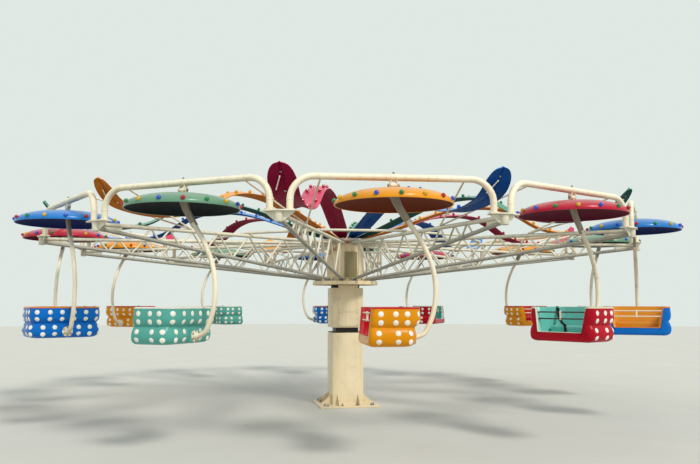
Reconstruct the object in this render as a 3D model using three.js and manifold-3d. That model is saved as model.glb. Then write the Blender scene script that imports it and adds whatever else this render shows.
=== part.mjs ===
import * as THREE from 'three';
import { mergeVertices } from 'three/addons/utils/BufferGeometryUtils.js';
import Module from 'manifold-3d';

// Chair swing ride: a lifting column carries a turning hub with twelve lattice arms. Bent tube
// gantries bridge the arm tips, and a tub under a round canopy swings from the middle of each.
// Millimetres, Z up. The origin is the middle of the base flange's underside.

// Layout
const BAYS = 12;
const BAY_TURN = (2 * Math.PI) / BAYS;
const FIRST_ARM = THREE.MathUtils.degToRad(-98.47);
const FIRST_GONDOLA = FIRST_ARM + BAY_TURN / 2;
const COLUMN_TURN = THREE.MathUtils.degToRad(11);
const SEAT_GAP = 0.3;

// Column and lift
const FLANGE_WIDTH = 1150;
const FLANGE_THICK = 30;
const COLUMN_WIDTH = 600;
const COLUMN_WALL = 20;
const COLUMN_TOP = 1400;
const GUIDE_THICK = 60;
const GUIDE_CLEARANCE = 6;
const INNER_WIDTH = 440;
const HOUSING_BOTTOM = 1500;
const HOUSING_TOP = 2270;
const PANEL_WIDTH = 390;
const PANEL_BOTTOM = 1530;
const PANEL_TOP = 2322;
const PANEL_THICK = 14;
const RING_RADIUS = 285;
const RING_TOP = 2330;

// Hub
const HUB_FLANGE_RADIUS = 645;
const HUB_FLANGE_TOP = 2400;
const DRUM_RADIUS = 365;
const DRUM_TOP = 3184.3;
const CROWN_PLATE_RADIUS = 475;
const CROWN_PLATE_TOP = 3235;
const SPIGOT_RADIUS = 90;
const SPIGOT_TOP = 3290;

// Arms
const CHORD_START = 378;
const TIP_RADIUS = 5600;
const UPPER_CHORD = 60;
const UPPER_START_Z = 3154;
const UPPER_TIP_Z = 3066;
const LOWER_CHORD = 60;
const LOWER_START_Z = 2430.2;
const LOWER_TIP_Z = 3010;
const WEB_WIDTH = 32;
const FIRST_WEB = 720;
const LAST_WEB = 4950;
const WEB_PITCH = 0.84;
const GUSSET_START = 5180;
const GUSSET_THICK = 14;
const POST_RADIUS = 54;
const TIP_PLATE_BOTTOM = 3098;
const TIP_PLATE_TOP = 3116;
const TIP_PLATE_REACH = 205;
const TIP_PLATE_HALF_WIDTH = 80;

// Ring of tie tubes on the upper chords
const TIE_RADIUS = 2650;
const TIE_TUBE = 22;

// Gantries
const GANTRY_RADIUS = 5400;
const GANTRY_HALF_SPAN = 1312;
const GANTRY_TUBE = 44;
const GANTRY_TOP_Z = 3551;
const GANTRY_BEND = 300;
const GANTRY_FLANGE_RADIUS = 68;
const GANTRY_FLANGE_THICK = 14;
const STAY_WIDTH = 26;
const STAY_TOP_SIDE = 930;
const STAY_FOOT_RADIUS = 3960;
const STAY_FOOT = new THREE.Vector3(90, 22, 24);
const STAY_DROP = 15;

// Gondola pivot
const PIVOT_Z = 3450;
const PIN_RADIUS = 17;
const PIN_HALF_LENGTH = 82;
const BORE_FLAT = 17.5;
const EYE_RADIUS = 34;
const EYE_HALF_LENGTH = 43;
const CLEVIS_SIDE = 55;
const CLEVIS_THICK = 14;
const CLEVIS_HALF_WIDTH = 35;
const NECK_HALF_LENGTH = 30;
const NECK_HALF_WIDTH = 22;

// Hanger and canopy
const HANGER_TUBE = 32;
const CANOPY_RADIUS = 760;
const CANOPY_RIM_Z = 3190;
const CANOPY_APEX_Z = 3385;
const CANOPY_TOP = [[752, 3235], [690, 3285], [450, 3358]];
const CANOPY_UNDERSIDE = [[450, 3330], [676, 3258]];
const CANOPY_LIP_WIDTH = 14;
const CANOPY_HEART = 28;
const PAD_CENTRE_Z = 1520;
const PAD_FACE = 272;
const PAD_ROOT = 120;
const PAD_HALF_WIDTH = 85;
const PAD_HALF_HEIGHT = 79;
const HANGER_FLANGE_RADIUS = 76;
const HANGER_FLANGE_THICK = 14;
const HANGER_ROUTE = [
  [-12, 3368], [60, 3190], [205, 2960], [325, 2790], [420, 2610], [490, 2430], [528, 2230],
  [530, 2030], [495, 1830], [436, 1675], [386, 1585], [334, PAD_CENTRE_Z + 8], [PAD_FACE + 5, PAD_CENTRE_Z]];

// Tub
const TUB_HALF_LENGTH = 522;
const TUB_BACK = 258;
const TUB_FRONT = -355;
const TUB_BACK_CORNER = 200;
const TUB_FRONT_CORNER = 70;
const TUB_FRONT_LEAN = 0.1;
const TUB_RIM_Z = 1910;
const TUB_BOTTOM_Z = 1440;
const TUB_FLOOR_Z = 1485;
const TUB_RINGS = [
  [90, TUB_BOTTOM_Z], [0, TUB_BOTTOM_Z + 110], [38, TUB_BOTTOM_Z + 228], [0, TUB_BOTTOM_Z + 335],
  [12, TUB_RIM_Z], [54, TUB_RIM_Z], [84, TUB_FLOOR_Z]];
const SEAT_TOP_Z = 1650;
const SEAT_FRONT = -40;
const SEAT_BACK = 185;
const SEAT_HALF_LENGTH = 415;
const FOOTWELL_FRONT = -200;
const FOOTWELL_HALF_LENGTH = 390;
const ENTRY_BOTTOM_Z = 1570;
const ENTRY_TOP_HALF = 415;
const ENTRY_BOTTOM_HALF = 355;

// Petals
const PETAL_LINE = [
  [250, 3262], [900, 3425], [1950, 3770], [2700, 3848], [3250, 3750], [3830, 3420],
  [4460, 3308], [5080, 3352], [5326, 3440], [5471, 3571], [5600, 3725]];
const PETAL_THICK = 46;
const PETAL_LIP = 190;
const PETAL_HALF_PLAN = [
  [240, 52], [620, 150], [950, 166], [1950, 176], [3200, 176], [3800, 162], [4480, 146], [5080, 180],
  [5250, PETAL_LIP], [5400, 186], [5480, 172], [5540, 142], [5580, 104], [5600, 60]];
const PETAL_MIDDLE_Z = 3500;
const COLLAR_RADIUS = 235;
const COLLAR_THICK = 8;
const COLLAR_BORE = SPIGOT_RADIUS + 3;
const TONGUE_START = 190;
const TONGUE_END = 290;
const TONGUE_HALF_WIDTH = 35;

const COLOURS = ['yellow', 'red', 'blue', 'green'];
const CREAM = 0xe2d8ba;
const DARK_STEEL = 0x4a4a48;
const GREASY_STEEL = 0x3a3632;
const TUB_COLOURS = { yellow: 0xe08a1a, red: 0xb01020, blue: 0x1f6fc0, green: 0x3fa394 };
const PETAL_COLOURS = { crimson: 0x8c1030, blue: 0x0f4fa0, green: 0x1f7a60, orange: 0xe0801a };

const wasm = await Module();
wasm.setup();

const up = new THREE.Vector3(0, 0, 1);

// A closed geometry as a solid that can be joined and cut, with its faces pointing out.
function solid(geometry) {
  const bare = geometry.clone();
  bare.deleteAttribute('normal');
  bare.deleteAttribute('uv');
  const merged = mergeVertices(bare, 0.01);
  const corners = merged.index.array;
  const triangles = [];
  for (let i = 0; i < corners.length; i += 3) {
    const [a, b, c] = [corners[i], corners[i + 1], corners[i + 2]];
    if (a !== b && b !== c && c !== a) triangles.push(a, b, c);
  }
  const vertProperties = Float32Array.from(merged.attributes.position.array);
  const made = (list) => new wasm.Manifold(
    new wasm.Mesh({ numProp: 3, vertProperties, triVerts: Uint32Array.from(list) }));
  const first = made(triangles);
  return first.volume() > 0 ? first : made(triangles.toReversed());
}

function join(...pieces) {
  return pieces.flat().reduce((whole, piece) => whole.add(piece));
}

// A named mesh with its own material, made from a solid.
function pieceMesh(name, whole, colour, roughness = 0.5, metalness = 0.1) {
  const { vertProperties, triVerts } = whole.asOriginal().simplify(0.1).getMesh();
  const geometry = new THREE.BufferGeometry();
  geometry.setAttribute('position', new THREE.BufferAttribute(Float32Array.from(vertProperties), 3));
  geometry.setIndex(new THREE.BufferAttribute(Uint32Array.from(triVerts), 1));
  geometry.computeVertexNormals();
  const material = new THREE.MeshStandardMaterial({ color: colour, roughness, metalness });
  const mesh = new THREE.Mesh(geometry, material);
  mesh.name = name;
  return mesh;
}

// A block between two opposite corners.
function block(low, high) {
  const size = high.map((value, i) => value - low[i]);
  const geometry = new THREE.BoxGeometry(...size);
  return solid(geometry.translate(...high.map((value, i) => (value + low[i]) / 2)));
}

// A straight bar between two points: `flats` is its width over flats. One flat faces up, unless
// the bar is rolled about its own length.
function bar(from, to, flats, sides, roll = 0) {
  const start = new THREE.Vector3(...from);
  const along = new THREE.Vector3(...to).sub(start);
  const length = along.length();
  along.normalize();
  const side = new THREE.Vector3().crossVectors(along, up);
  if (side.length() < 1e-6) side.set(0, 1, 0);
  side.normalize();
  const lift = new THREE.Vector3().crossVectors(side, along);
  const radius = flats / 2 / Math.cos(Math.PI / sides);
  const geometry = new THREE.CylinderGeometry(radius, radius, length, sides);
  geometry.rotateY(Math.PI / sides + roll);
  geometry.translate(0, length / 2, 0);
  geometry.applyMatrix4(new THREE.Matrix4().makeBasis(side, along, lift));
  return solid(geometry.translate(...from));
}

// A flat plate: an outline in the plane of two axes, with its thickness centred on the third.
function plate(outline, thick, place) {
  const shape = new THREE.Shape(outline.map(([a, b]) => new THREE.Vector2(a, b)));
  const geometry = new THREE.ExtrudeGeometry(shape, { depth: thick, bevelEnabled: false });
  geometry.translate(0, 0, -thick / 2);
  return solid(place(geometry));
}

// Stands an outline drawn as (x, z) upright, with its thickness along Y.
const upright = (geometry) => geometry.rotateX(Math.PI / 2);

// A path of straight stretches through given points, with one ring of the tube at each of them.
class CornerPath extends THREE.Curve {
  constructor(points) {
    super();
    this.points = points;
  }

  getPoint(t) {
    return this.points[Math.round(t * (this.points.length - 1))].clone();
  }

  getPointAt(u) {
    return this.getPoint(u);
  }

  getTangent(t) {
    const last = this.points.length - 1;
    const i = Math.round(t * last);
    const before = this.points[i].clone().sub(this.points[Math.max(i - 1, 0)]).normalize();
    const after = this.points[Math.min(i + 1, last)].clone().sub(this.points[i]).normalize();
    return before.add(after).normalize();
  }

  getTangentAt(u) {
    return this.getTangent(u);
  }

  getSpacedPoints() {
    return this.points.map((point) => point.clone());
  }
}

// A round bar that follows a list of points.
function bentTube(points, radius, sides) {
  const section = new THREE.Shape();
  for (let i = 0; i < sides; i++) {
    const turn = (2 * Math.PI * (i + 0.5)) / sides;
    const corner = [radius * Math.cos(turn), radius * Math.sin(turn)];
    if (i === 0) section.moveTo(...corner);
    else section.lineTo(...corner);
  }
  section.closePath();
  const path = new CornerPath(points);
  const options = { steps: points.length - 1, extrudePath: path, bevelEnabled: false };
  return solid(new THREE.ExtrudeGeometry(section, options));
}

// A turned body about Z from (radius, height) points that start and end on the axis.
function turned(profile, segments) {
  const points = profile.map(([radius, height]) => new THREE.Vector2(radius, height));
  return solid(new THREE.LatheGeometry(points, segments).rotateX(Math.PI / 2));
}

// Square base column, open at the top, with a guide frame for the inner column.
function baseColumn() {
  const half = COLUMN_WIDTH / 2;
  const hollow = half - COLUMN_WALL;
  const guide = INNER_WIDTH / 2 + GUIDE_CLEARANCE;
  const foot = FLANGE_WIDTH / 2;
  const shell = join(
    block([-foot, -foot, 0], [foot, foot, FLANGE_THICK]),
    block([-half, -half, 0], [half, half, COLUMN_TOP]));
  const inside = block([-hollow, -hollow, FLANGE_THICK], [hollow, hollow, COLUMN_TOP - GUIDE_THICK]);
  const mouth = block([-guide, -guide, FLANGE_THICK], [guide, guide, COLUMN_TOP + 1]);
  return shell.subtract(inside).subtract(mouth);
}

// Inner column that stands on the base flange and slides up through the guide frame.
function innerColumn() {
  const half = INNER_WIDTH / 2;
  return block([-half, -half, FLANGE_THICK + SEAT_GAP], [half, half, HOUSING_BOTTOM - SEAT_GAP]);
}

// Drive housing on the inner column, with a raised cover panel on its front.
function liftHousing() {
  const half = COLUMN_WIDTH / 2;
  const panel = PANEL_WIDTH / 2;
  return join(
    block([-half, -half, HOUSING_BOTTOM], [half, half, HOUSING_TOP]),
    block([-panel, -half - PANEL_THICK, PANEL_BOTTOM], [panel, -half + 1, PANEL_TOP]));
}

function slewingRing() {
  const bottom = HOUSING_TOP + SEAT_GAP;
  const top = RING_TOP - SEAT_GAP;
  return turned([[0, bottom], [RING_RADIUS, bottom], [RING_RADIUS, top], [0, top]], 24);
}

// Hub: a drum between a wide bottom flange and a crown plate, with a spigot for the petal collars.
function hub() {
  return turned([
    [0, RING_TOP], [HUB_FLANGE_RADIUS, RING_TOP], [HUB_FLANGE_RADIUS, HUB_FLANGE_TOP],
    [DRUM_RADIUS, HUB_FLANGE_TOP], [DRUM_RADIUS, DRUM_TOP], [CROWN_PLATE_RADIUS, DRUM_TOP],
    [CROWN_PLATE_RADIUS, CROWN_PLATE_TOP], [SPIGOT_RADIUS, CROWN_PLATE_TOP],
    [SPIGOT_RADIUS, SPIGOT_TOP], [0, SPIGOT_TOP]], 24);
}

// Height of a chord's centre line at a distance from the axis.
function chordZ(startZ, tipZ, radius) {
  return startZ + ((tipZ - startZ) * (radius - CHORD_START)) / (TIP_RADIUS - CHORD_START);
}

const CHORD_SLOPE = Math.atan((UPPER_START_Z - UPPER_TIP_Z) / (TIP_RADIUS - CHORD_START));

const upperZ = (radius) => chordZ(UPPER_START_Z, UPPER_TIP_Z, radius);
const lowerZ = (radius) => chordZ(LOWER_START_Z, LOWER_TIP_Z, radius);
const chordTop = (radius) => upperZ(radius) + UPPER_CHORD / 2 / Math.cos(CHORD_SLOPE);

// Places where the bracing meets the chords: each step is a set share of the arm's height there.
function webNodes() {
  const nodes = [FIRST_WEB];
  while (nodes.at(-1) < LAST_WEB - 200) {
    const last = nodes.at(-1);
    nodes.push(last + WEB_PITCH * (upperZ(last) - lowerZ(last)));
  }
  return nodes;
}

// One lattice arm along +X: two chords, zigzag bracing, a gusset, the tip post and its plate.
function arm() {
  const chords = [
    bar([CHORD_START, 0, UPPER_START_Z], [TIP_RADIUS, 0, UPPER_TIP_Z], UPPER_CHORD, 6),
    bar([CHORD_START, 0, LOWER_START_Z], [TIP_RADIUS, 0, LOWER_TIP_Z], LOWER_CHORD, 6)];
  const nodes = webNodes();
  const webs = [bar([nodes[0], 0, lowerZ(nodes[0])], [nodes[0], 0, upperZ(nodes[0])], WEB_WIDTH, 4)];
  for (let i = 1; i < nodes.length; i++) {
    const [high, low] = i % 2 ? [nodes[i - 1], nodes[i]] : [nodes[i], nodes[i - 1]];
    webs.push(bar([low, 0, lowerZ(low)], [high, 0, upperZ(high)], WEB_WIDTH, 4));
  }
  const gusset = plate([
    [GUSSET_START, lowerZ(GUSSET_START)], [TIP_RADIUS, LOWER_TIP_Z],
    [TIP_RADIUS, UPPER_TIP_Z], [GUSSET_START, upperZ(GUSSET_START)]], GUSSET_THICK, upright);
  const postBottom = LOWER_TIP_Z - LOWER_CHORD / 2 - 12;
  const post = bar([TIP_RADIUS, 0, postBottom], [TIP_RADIUS, 0, TIP_PLATE_TOP - 5], 2 * POST_RADIUS, 6);
  return join(chords, webs, gusset, post, tipPlate());
}

// Two-winged plate on the tip post that takes the feet of both neighbouring gantries.
function tipPlate() {
  const wing = (side, along, across) => {
    const lean = BAY_TURN / 2;
    return [
      TIP_RADIUS - along * Math.sin(lean) + across * Math.cos(lean),
      side * (along * Math.cos(lean) + across * Math.sin(lean))];
  };
  const corner = TIP_PLATE_HALF_WIDTH / Math.cos(BAY_TURN / 2);
  const outline = [
    wing(1, TIP_PLATE_REACH, TIP_PLATE_HALF_WIDTH), [TIP_RADIUS + corner, 0],
    wing(-1, TIP_PLATE_REACH, TIP_PLATE_HALF_WIDTH), wing(-1, TIP_PLATE_REACH, -TIP_PLATE_HALF_WIDTH),
    [TIP_RADIUS - corner, 0], wing(1, TIP_PLATE_REACH, -TIP_PLATE_HALF_WIDTH)];
  const middle = (TIP_PLATE_TOP + TIP_PLATE_BOTTOM) / 2;
  return plate(outline, TIP_PLATE_TOP - TIP_PLATE_BOTTOM, (geometry) => geometry.translate(0, 0, middle));
}

// Closed ring of tie tubes, with a corner on top of each arm's upper chord.
function tieRing() {
  const geometry = new THREE.TorusGeometry(TIE_RADIUS, TIE_TUBE, 8, BAYS);
  return solid(geometry.translate(0, 0, chordTop(TIE_RADIUS - TIE_TUBE) + SEAT_GAP + TIE_TUBE));
}

// Centre line of a gantry from one foot over the top to the other, in its own upright plane.
function gantryPoints() {
  const foot = TIP_PLATE_TOP + SEAT_GAP + GANTRY_FLANGE_THICK / 2;
  const bendSteps = 3;
  const half = [[GANTRY_HALF_SPAN, foot]];
  for (let i = 0; i <= bendSteps; i++) {
    const turn = ((Math.PI / 2) * i) / bendSteps;
    half.push([
      GANTRY_HALF_SPAN - GANTRY_BEND * (1 - Math.cos(turn)),
      GANTRY_TOP_Z - GANTRY_BEND * (1 - Math.sin(turn))]);
  }
  const mirrored = half.map(([side, height]) => [-side, height]).reverse();
  return half.concat(mirrored).map(([side, height]) => new THREE.Vector3(GANTRY_RADIUS, side, height));
}

// Stay from the gantry's top tube in to one arm's upper chord, with the foot block on the chord.
function stay(side) {
  const turn = (side * BAY_TURN) / 2;
  const offset = STAY_FOOT.y / 2 + 1;
  const footZ = chordTop(STAY_FOOT_RADIUS) + SEAT_GAP + STAY_FOOT.z / 2;
  const foot = solid(new THREE.BoxGeometry(...STAY_FOOT)
    .rotateY(CHORD_SLOPE)
    .translate(STAY_FOOT_RADIUS, -side * offset, footZ)
    .rotateZ(turn));
  const end = new THREE.Vector3(STAY_FOOT_RADIUS, -side * (offset + 8), footZ + 4).applyAxisAngle(up, turn);
  const top = [GANTRY_RADIUS, side * STAY_TOP_SIDE, GANTRY_TOP_Z - STAY_DROP];
  return join(foot, bar(end.toArray(), top, STAY_WIDTH, 4));
}

// Two-plate clevis under the middle of the gantry, with the pin that the gondola hangs on.
function clevis() {
  const half = CLEVIS_HALF_WIDTH;
  const cheek = [
    [-half / 2, PIVOT_Z - half], [half / 2, PIVOT_Z - half], [half, GANTRY_TOP_Z], [-half, GANTRY_TOP_Z]];
  const cheeks = [-CLEVIS_SIDE, CLEVIS_SIDE].map((side) =>
    plate(cheek, CLEVIS_THICK, (geometry) => upright(geometry).translate(GANTRY_RADIUS, side, 0)));
  const flats = 2 * PIN_RADIUS * Math.cos(Math.PI / 6);
  const pinEnds = [-1, 1].map((side) => [GANTRY_RADIUS, side * PIN_HALF_LENGTH, PIVOT_Z]);
  const pin = bar(...pinEnds, flats, 6, Math.PI / 6);
  return join(cheeks, pin);
}

// Inverted U of bent tube between two arm tips, along +X, with its stays and clevis.
function gantry() {
  const flanges = [-1, 1].map((side) => {
    const bottom = [GANTRY_RADIUS, side * GANTRY_HALF_SPAN, TIP_PLATE_TOP + SEAT_GAP];
    const top = [bottom[0], bottom[1], bottom[2] + GANTRY_FLANGE_THICK];
    return bar(bottom, top, 2 * GANTRY_FLANGE_RADIUS, 6);
  });
  return join(bentTube(gantryPoints(), GANTRY_TUBE, 6), flanges, stay(1), stay(-1), clevis());
}

// Centre line of the hanger from the canopy, round behind the tub, to the pad on its back.
function hangerPoints() {
  return HANGER_ROUTE.map(([side, height]) => new THREE.Vector3(GANTRY_RADIUS, side, height));
}

// Hanger with the bored eye on the pin, the round canopy below it and the flange for the tub.
function hanger() {
  const eyeFrom = [GANTRY_RADIUS, -EYE_HALF_LENGTH, PIVOT_Z];
  const eyeTo = [GANTRY_RADIUS, EYE_HALF_LENGTH, PIVOT_Z];
  const eye = bar(eyeFrom, eyeTo, 2 * EYE_RADIUS, 8);
  const bore = bar(
    [GANTRY_RADIUS, -EYE_HALF_LENGTH - 5, PIVOT_Z], [GANTRY_RADIUS, EYE_HALF_LENGTH + 5, PIVOT_Z],
    2 * BORE_FLAT, 6);
  const neck = block(
    [GANTRY_RADIUS - NECK_HALF_LENGTH, -NECK_HALF_WIDTH, CANOPY_APEX_Z - CANOPY_HEART],
    [GANTRY_RADIUS + NECK_HALF_LENGTH, NECK_HALF_WIDTH, PIVOT_Z - BORE_FLAT - 4]);
  const canopy = turned([
    [0, CANOPY_APEX_Z - CANOPY_HEART], ...CANOPY_UNDERSIDE,
    [CANOPY_RADIUS - CANOPY_LIP_WIDTH, CANOPY_RIM_Z], [CANOPY_RADIUS, CANOPY_RIM_Z], ...CANOPY_TOP,
    [0, CANOPY_APEX_Z]], 16)
    .translate([GANTRY_RADIUS, 0, 0]);
  const flange = bar(
    [GANTRY_RADIUS, PAD_FACE + SEAT_GAP, PAD_CENTRE_Z],
    [GANTRY_RADIUS, PAD_FACE + SEAT_GAP + HANGER_FLANGE_THICK, PAD_CENTRE_Z], 2 * HANGER_FLANGE_RADIUS, 8);
  const tube = bentTube(hangerPoints(), HANGER_TUBE, 6);
  return join(eye, neck, canopy, tube, flange).subtract(bore);
}

// Plan of the tub: rounded back corners and tighter front ones, moved in by an inset all round.
function tubPlan(step, inset) {
  const corner = Math.floor(step / 3);
  const turn = ((corner * 90 + (step % 3) * 45) * Math.PI) / 180;
  const atBack = corner < 2;
  const radius = atBack ? TUB_BACK_CORNER : TUB_FRONT_CORNER;
  const sideways = corner === 0 || corner === 3 ? 1 : -1;
  const centreX = sideways * (TUB_HALF_LENGTH - radius);
  const centreY = atBack ? TUB_BACK - radius : TUB_FRONT + radius;
  const reach = Math.max(radius - inset, 5);
  return [
    centreX + reach * Math.cos(turn) - sideways * Math.max(inset - radius + 5, 0),
    centreY + reach * Math.sin(turn) + (atBack ? -1 : 1) * Math.max(inset - radius + 5, 0)];
}

// Tub shell from the middle of its underside, over two rolls and the rim, down to its floor:
// a turned body whose rings are pulled out to the tub's plan.
function tubShell() {
  const steps = 12;
  const reach = TUB_HALF_LENGTH;
  const profile = [new THREE.Vector2(0, TUB_BOTTOM_Z)];
  for (const [inset, height] of TUB_RINGS) profile.push(new THREE.Vector2(reach - inset, height));
  profile.push(new THREE.Vector2(0, TUB_FLOOR_Z));
  const geometry = new THREE.LatheGeometry(profile, steps);
  const position = geometry.attributes.position;
  for (let i = 0; i < position.count; i++) {
    const place = i % profile.length;
    const height = profile[place].y;
    if (profile[place].x === 0) {
      position.setXYZ(i, 0, 0, height);
      continue;
    }
    const step = Math.floor(i / profile.length) % steps;
    const [x, y] = tubPlan(step, reach - profile[place].x);
    const lean = y < SEAT_FRONT ? TUB_FRONT_LEAN * (TUB_RIM_Z - height) : 0;
    position.setXYZ(i, x, y - lean, height);
  }
  return solid(geometry);
}

// Tub with its bench, the cut-out that riders step in through, and the pad for the hanger.
function tub() {
  const bench = block(
    [-SEAT_HALF_LENGTH, SEAT_FRONT, TUB_FLOOR_Z - 10], [SEAT_HALF_LENGTH, SEAT_BACK, SEAT_TOP_Z]);
  const pad = block(
    [-PAD_HALF_WIDTH, PAD_ROOT, PAD_CENTRE_Z - PAD_HALF_HEIGHT],
    [PAD_HALF_WIDTH, PAD_FACE, PAD_CENTRE_Z + PAD_HALF_HEIGHT]);
  const entry = plate([
    [-ENTRY_BOTTOM_HALF, ENTRY_BOTTOM_Z], [ENTRY_BOTTOM_HALF, ENTRY_BOTTOM_Z],
    [ENTRY_TOP_HALF, TUB_RIM_Z + 20], [-ENTRY_TOP_HALF, TUB_RIM_Z + 20]], 300,
  (geometry) => upright(geometry).translate(0, TUB_FRONT, 0));
  const footwell = block(
    [-FOOTWELL_HALF_LENGTH, FOOTWELL_FRONT, TUB_FLOOR_Z], [FOOTWELL_HALF_LENGTH, SEAT_FRONT, SEAT_TOP_Z]);
  return join(tubShell(), bench, pad).subtract(entry).subtract(footwell)
    .translate([GANTRY_RADIUS, 0, 0]);
}

// One petal along +X, up from the hub, over its crest, down and up to the round tip: the side view
// and the plan cut each other.
function petal() {
  const line = PETAL_LINE.map(([x, z]) => new THREE.Vector2(x, z));
  const offset = (side) => line.map((point, i) => {
    const before = line[Math.max(i - 1, 0)];
    const after = line[Math.min(i + 1, line.length - 1)];
    const along = after.clone().sub(before).normalize();
    return [point.x - (side * along.y * PETAL_THICK) / 2, point.y + (side * along.x * PETAL_THICK) / 2];
  });
  const sideView = plate(offset(1).concat(offset(-1).reverse()), 2 * PETAL_LIP + 20, upright);
  const outline = PETAL_HALF_PLAN.concat(PETAL_HALF_PLAN.map(([x, y]) => [x, -y]).reverse());
  const plan = plate(outline, 1200, (geometry) => geometry.translate(0, 0, PETAL_MIDDLE_Z));
  return sideView.intersect(plan);
}

// Three like petals a third of a turn apart, on the collar that clamps them round the spigot.
function petalSet(level, onePetal) {
  const bottom = CROWN_PLATE_TOP + SEAT_GAP + level * (COLLAR_THICK + SEAT_GAP);
  const top = bottom + COLLAR_THICK;
  const collar = turned([
    [0, bottom], [COLLAR_RADIUS, bottom], [COLLAR_RADIUS, top], [0, top]], 24)
    .subtract(turned([
      [0, bottom - 5], [COLLAR_BORE, bottom - 5], [COLLAR_BORE, top + 5], [0, top + 5]], 16));
  const tongue = block([TONGUE_START, -TONGUE_HALF_WIDTH, bottom], [TONGUE_END, TONGUE_HALF_WIDTH, top]);
  const petals = [0, 1, 2].map((i) => {
    const turn = ((level + 4 * i) * 360) / BAYS;
    return join(onePetal, tongue).rotate([0, 0, turn + THREE.MathUtils.radToDeg(FIRST_ARM)]);
  });
  return join(collar, petals);
}

const ride = new THREE.Group();
ride.name = 'chair_swing_ride';

const column = new THREE.Group();
column.rotation.z = COLUMN_TURN;
column.add(
  pieceMesh('base_column', baseColumn(), CREAM),
  pieceMesh('inner_column', innerColumn(), DARK_STEEL, 0.4, 0.6),
  pieceMesh('lift_housing', liftHousing(), CREAM),
  pieceMesh('slewing_ring', slewingRing(), GREASY_STEEL, 0.6, 0.7));
ride.add(column);

ride.add(pieceMesh('hub', hub(), CREAM));
const ties = pieceMesh('tie_ring', tieRing(), CREAM);
ties.rotation.z = FIRST_ARM;
ride.add(ties);

const shapes = { arm: arm(), gantry: gantry(), hanger: hanger(), tub: tub() };
const petalNames = ['crimson', 'blue', 'green', 'orange'];

for (let i = 0; i < BAYS; i++) {
  const number = String(i + 1).padStart(2, '0');
  const colour = TUB_COLOURS[COLOURS[i % COLOURS.length]];
  const armPlace = new THREE.Group();
  armPlace.rotation.z = FIRST_ARM + i * BAY_TURN;
  armPlace.add(pieceMesh(`arm_${number}`, shapes.arm, CREAM));
  const bay = new THREE.Group();
  bay.rotation.z = FIRST_GONDOLA + i * BAY_TURN;
  bay.add(
    pieceMesh(`gantry_${number}`, shapes.gantry, CREAM),
    pieceMesh(`hanger_${number}`, shapes.hanger, CREAM),
    pieceMesh(`tub_${number}`, shapes.tub, colour, 0.35, 0));
  ride.add(armPlace, bay);
}

const onePetal = petal();
petalNames.forEach((name, level) => {
  ride.add(pieceMesh(`petals_${name}`, petalSet(level, onePetal), PETAL_COLOURS[name], 0.35, 0));
});

export default ride;
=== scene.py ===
import math

import bmesh
import bpy
from mathutils import Matrix, Vector
from mathutils.bvhtree import BVHTree


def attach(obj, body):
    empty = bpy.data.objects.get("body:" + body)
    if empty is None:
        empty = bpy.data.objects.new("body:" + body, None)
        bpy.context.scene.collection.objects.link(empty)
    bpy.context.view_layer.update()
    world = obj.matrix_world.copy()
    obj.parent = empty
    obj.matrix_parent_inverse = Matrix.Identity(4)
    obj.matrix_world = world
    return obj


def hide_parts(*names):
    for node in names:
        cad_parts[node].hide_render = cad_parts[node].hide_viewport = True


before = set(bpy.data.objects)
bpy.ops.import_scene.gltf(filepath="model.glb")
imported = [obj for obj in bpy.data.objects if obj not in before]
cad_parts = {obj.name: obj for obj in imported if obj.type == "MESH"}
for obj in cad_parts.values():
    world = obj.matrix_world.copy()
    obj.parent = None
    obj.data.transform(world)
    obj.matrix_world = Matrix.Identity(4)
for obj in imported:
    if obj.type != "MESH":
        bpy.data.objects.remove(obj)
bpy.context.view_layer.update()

# Camera, floor and light: a grown-up's eye height, fourteen metres from the column, on a plain
# pale floor under a bright hazy sky with a soft warm sun from the upper right.
scene = bpy.context.scene
camera = bpy.data.objects.new("camera", bpy.data.cameras.new("camera"))
camera.data.lens = 37.05
camera.data.clip_end = 200
camera.location = (0, -14.42, 1.94)
camera.rotation_euler = (math.radians(95.771), 0, math.radians(-0.383))
scene.collection.objects.link(camera)
scene.camera = camera
scene.view_settings.view_transform = "Standard"


def linear(red, green, blue):
    """The colour as a shader takes it, from the numbers a screen shows."""
    return (*[c / 12.92 if c <= 0.04045 else ((c + 0.055) / 1.055) ** 2.4 for c in (red, green, blue)], 1)


def put(tree, kind, inputs=None, **settings):
    """Adds a node to a material or group. An input is a value or the socket that feeds it."""
    made = tree.nodes.new("ShaderNode" + kind)
    for name, value in settings.items():
        setattr(made, name, value)
    for key, value in (inputs or {}).items():
        if isinstance(value, bpy.types.NodeSocket):
            tree.links.new(value, made.inputs[key])
        else:
            made.inputs[key].default_value = value
    return made


def noise(tree, place, scale, detail=3, stretch=None):
    """Cloudy noise over the surface, pulled long along an axis where stretch says so."""
    if stretch:
        place = put(tree, "Mapping", {"Vector": place, "Scale": stretch}).outputs[0]
    return put(tree, "TexNoise", {"Vector": place, "Scale": scale, "Detail": detail}).outputs["Fac"]


def band(tree, value, low, high, bottom=0.0, top=1.0):
    """Takes a value from low..high to bottom..top, and holds it there."""
    inputs = {"Value": value, "From Min": low, "From Max": high, "To Min": bottom, "To Max": top}
    return put(tree, "MapRange", inputs).outputs[0]


def times(tree, first, second):
    return put(tree, "Math", {0: first, 1: second}, operation="MULTIPLY").outputs[0]


def plus(tree, first, second):
    return put(tree, "Math", {0: first, 1: second}, operation="ADD", use_clamp=True).outputs[0]


def blended(tree, share, under, over):
    """Two colours mixed by a share."""
    return put(tree, "Mix", {0: share, 6: under, 7: over}, data_type="RGBA").outputs[2]


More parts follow.
